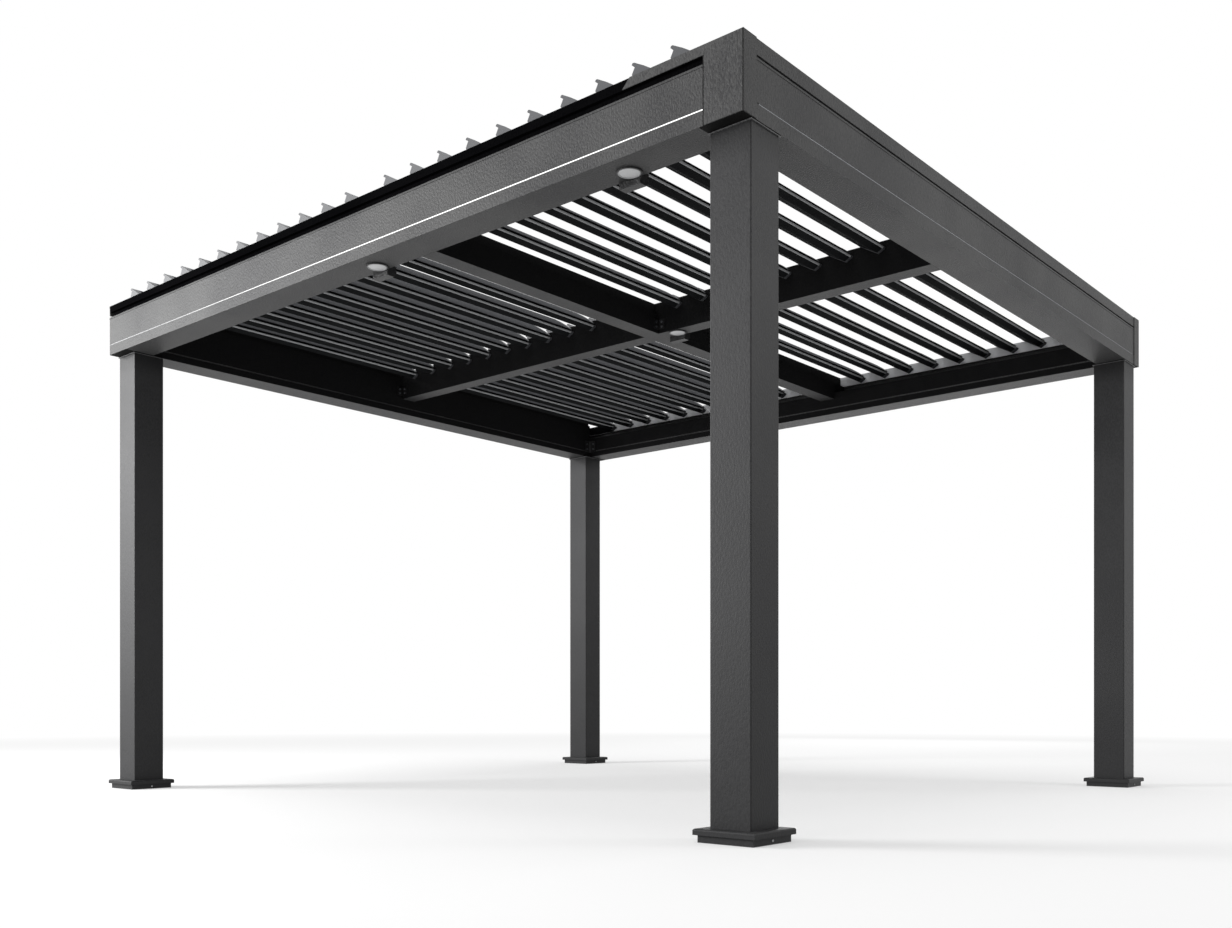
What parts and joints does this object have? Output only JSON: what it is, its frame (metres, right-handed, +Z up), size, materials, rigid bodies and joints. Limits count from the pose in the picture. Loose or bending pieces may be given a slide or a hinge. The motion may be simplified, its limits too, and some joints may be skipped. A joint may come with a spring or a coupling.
{
  "type": "aluminium pergola with an adjustable louvred roof",
  "caption": "Free-standing aluminium pergola on corner posts, with an adjustable louvred roof, gutter beams, a centre beam and a lit front fascia.",
  "frame": {"origin": "on the ground under the middle of the roof", "axes": "+X along the long side towards the covered corners, +Y from the lit front to the back, +Z up"},
  "size_m": [4.011, 3.69, 2.5438],
  "materials": {
    "anthracite_frame": "fine-textured powder coat",
    "black_rail": "fine-textured powder coat",
    "anthracite_blade": "fine-textured powder coat",
    "diffuser": "opal, lit from behind",
    "light_housing": "satin with an opal lens"
  },
  "bodies": {
    "frame": {"front_beam": "anthracite_frame", "front_rail": "black_rail", "back_beam": "anthracite_frame", "back_rail": "black_rail", "right_beam": "anthracite_frame", "right_rail": "anthracite_frame", "left_beam": "anthracite_frame", "left_rail": "anthracite_frame", "centre_beam": "anthracite_frame", "cross_beam_front": "anthracite_frame", "cross_beam_back": "anthracite_frame", "front_right_post": "anthracite_frame", "front_left_post": "anthracite_frame", "back_left_post": "anthracite_frame", "back_right_post": "anthracite_frame", "post_collars": "anthracite_frame", "base_skirts": "anthracite_frame", "corner_covers": "anthracite_frame", "end_lips": "anthracite_frame", "light_strip": "diffuser", "spot_lights": "light_housing", "beam_cleats": "anthracite_frame"},
    "louvre_01": {"louvre_01": "anthracite_blade"},
    "louvre_02": {"louvre_02": "anthracite_blade"},
    "louvre_03": {"louvre_03": "anthracite_blade"},
    "louvre_04": {"louvre_04": "anthracite_blade"},
    "louvre_05": {"louvre_05": "anthracite_blade"},
    "louvre_06": {"louvre_06": "anthracite_blade"},
    "louvre_07": {"louvre_07": "anthracite_blade"},
    "louvre_08": {"louvre_08": "anthracite_blade"},
    "louvre_09": {"louvre_09": "anthracite_blade"},
    "louvre_10": {"louvre_10": "anthracite_blade"},
    "louvre_11": {"louvre_11": "anthracite_blade"},
    "louvre_12": {"louvre_12": "anthracite_blade"},
    "louvre_13": {"louvre_13": "anthracite_blade"},
    "louvre_14": {"louvre_14": "anthracite_blade"},
    "louvre_15": {"louvre_15": "anthracite_blade"},
    "louvre_16": {"louvre_16": "anthracite_blade"},
    "louvre_17": {"louvre_17": "anthracite_blade"},
    "louvre_18": {"louvre_18": "anthracite_blade"},
    "louvre_19": {"louvre_19": "anthracite_blade"},
    "louvre_20": {"louvre_20": "anthracite_blade"},
    "louvre_21": {"louvre_21": "anthracite_blade"},
    "louvre_22": {"louvre_22": "anthracite_blade"}
  },
  "joints": [
    {"name": "louvre_01_turn", "type": "hinge", "parent": "frame", "child": "louvre_01", "pos_m": [-1.7408, 0, 2.465], "axis": [0, 1, 0], "range_deg": [-30, 60]},
    {"name": "louvre_02_turn", "type": "hinge", "parent": "frame", "child": "louvre_02", "pos_m": [-1.57939, 0, 2.465], "axis": [0, 1, 0], "range_deg": [-30, 60]},
    {"name": "louvre_03_turn", "type": "hinge", "parent": "frame", "child": "louvre_03", "pos_m": [-1.41798, 0, 2.465], "axis": [0, 1, 0], "range_deg": [-30, 60]},
    {"name": "louvre_04_turn", "type": "hinge", "parent": "frame", "child": "louvre_04", "pos_m": [-1.25657, 0, 2.465], "axis": [0, 1, 0], "range_deg": [-30, 60]},
    {"name": "louvre_05_turn", "type": "hinge", "parent": "frame", "child": "louvre_05", "pos_m": [-1.09516, 0, 2.465], "axis": [0, 1, 0], "range_deg": [-30, 60]},
    {"name": "louvre_06_turn", "type": "hinge", "parent": "frame", "child": "louvre_06", "pos_m": [-0.93375, 0, 2.465], "axis": [0, 1, 0], "range_deg": [-30, 60]},
    {"name": "louvre_07_turn", "type": "hinge", "parent": "frame", "child": "louvre_07", "pos_m": [-0.77234, 0, 2.465], "axis": [0, 1, 0], "range_deg": [-30, 60]},
    {"name": "louvre_08_turn", "type": "hinge", "parent": "frame", "child": "louvre_08", "pos_m": [-0.61093, 0, 2.465], "axis": [0, 1, 0], "range_deg": [-30, 60]},
    {"name": "louvre_09_turn", "type": "hinge", "parent": "frame", "child": "louvre_09", "pos_m": [-0.44952, 0, 2.465], "axis": [0, 1, 0], "range_deg": [-30, 60]},
    {"name": "louvre_10_turn", "type": "hinge", "parent": "frame", "child": "louvre_10", "pos_m": [-0.28811, 0, 2.465], "axis": [0, 1, 0], "range_deg": [-30, 60]},
    {"name": "louvre_11_turn", "type": "hinge", "parent": "frame", "child": "louvre_11", "pos_m": [-0.12671, 0, 2.465], "axis": [0, 1, 0], "range_deg": [-30, 60]},
    {"name": "louvre_12_turn", "type": "hinge", "parent": "frame", "child": "louvre_12", "pos_m": [0.0347, 0, 2.465], "axis": [0, 1, 0], "range_deg": [-30, 60]},
    {"name": "louvre_13_turn", "type": "hinge", "parent": "frame", "child": "louvre_13", "pos_m": [0.28811, 0, 2.465], "axis": [0, 1, 0], "range_deg": [-30, 60]},
    {"name": "louvre_14_turn", "type": "hinge", "parent": "frame", "child": "louvre_14", "pos_m": [0.44952, 0, 2.465], "axis": [0, 1, 0], "range_deg": [-30, 60]},
    {"name": "louvre_15_turn", "type": "hinge", "parent": "frame", "child": "louvre_15", "pos_m": [0.61093, 0, 2.465], "axis": [0, 1, 0], "range_deg": [-30, 60]},
    {"name": "louvre_16_turn", "type": "hinge", "parent": "frame", "child": "louvre_16", "pos_m": [0.77234, 0, 2.465], "axis": [0, 1, 0], "range_deg": [-30, 60]},
    {"name": "louvre_17_turn", "type": "hinge", "parent": "frame", "child": "louvre_17", "pos_m": [0.93375, 0, 2.465], "axis": [0, 1, 0], "range_deg": [-30, 60]},
    {"name": "louvre_18_turn", "type": "hinge", "parent": "frame", "child": "louvre_18", "pos_m": [1.09516, 0, 2.465], "axis": [0, 1, 0], "range_deg": [-30, 60]},
    {"name": "louvre_19_turn", "type": "hinge", "parent": "frame", "child": "louvre_19", "pos_m": [1.25657, 0, 2.465], "axis": [0, 1, 0], "range_deg": [-30, 60]},
    {"name": "louvre_20_turn", "type": "hinge", "parent": "frame", "child": "louvre_20", "pos_m": [1.41798, 0, 2.465], "axis": [0, 1, 0], "range_deg": [-30, 60]},
    {"name": "louvre_21_turn", "type": "hinge", "parent": "frame", "child": "louvre_21", "pos_m": [1.57939, 0, 2.465], "axis": [0, 1, 0], "range_deg": [-30, 60]},
    {"name": "louvre_22_turn", "type": "hinge", "parent": "frame", "child": "louvre_22", "pos_m": [1.7408, 0, 2.465], "axis": [0, 1, 0], "range_deg": [-30, 60]}
  ],
  "couplings": [
    {"joint": "louvre_01_turn", "follows": "louvre_12_turn", "ratio": 1},
    {"joint": "louvre_02_turn", "follows": "louvre_12_turn", "ratio": 1},
    {"joint": "louvre_03_turn", "follows": "louvre_12_turn", "ratio": 1},
    {"joint": "louvre_04_turn", "follows": "louvre_12_turn", "ratio": 1},
    {"joint": "louvre_05_turn", "follows": "louvre_12_turn", "ratio": 1},
    {"joint": "louvre_06_turn", "follows": "louvre_12_turn", "ratio": 1},
    {"joint": "louvre_07_turn", "follows": "louvre_12_turn", "ratio": 1},
    {"joint": "louvre_08_turn", "follows": "louvre_12_turn", "ratio": 1},
    {"joint": "louvre_09_turn", "follows": "louvre_12_turn", "ratio": 1},
    {"joint": "louvre_10_turn", "follows": "louvre_12_turn", "ratio": 1},
    {"joint": "louvre_11_turn", "follows": "louvre_12_turn", "ratio": 1},
    {"joint": "louvre_13_turn", "follows": "louvre_12_turn", "ratio": 1},
    {"joint": "louvre_14_turn", "follows": "louvre_12_turn", "ratio": 1},
    {"joint": "louvre_15_turn", "follows": "louvre_12_turn", "ratio": 1},
    {"joint": "louvre_16_turn", "follows": "louvre_12_turn", "ratio": 1},
    {"joint": "louvre_17_turn", "follows": "louvre_12_turn", "ratio": 1},
    {"joint": "louvre_18_turn", "follows": "louvre_12_turn", "ratio": 1},
    {"joint": "louvre_19_turn", "follows": "louvre_12_turn", "ratio": 1},
    {"joint": "louvre_20_turn", "follows": "louvre_12_turn", "ratio": 1},
    {"joint": "louvre_21_turn", "follows": "louvre_12_turn", "ratio": 1},
    {"joint": "louvre_22_turn", "follows": "louvre_12_turn", "ratio": 1}
  ]
}
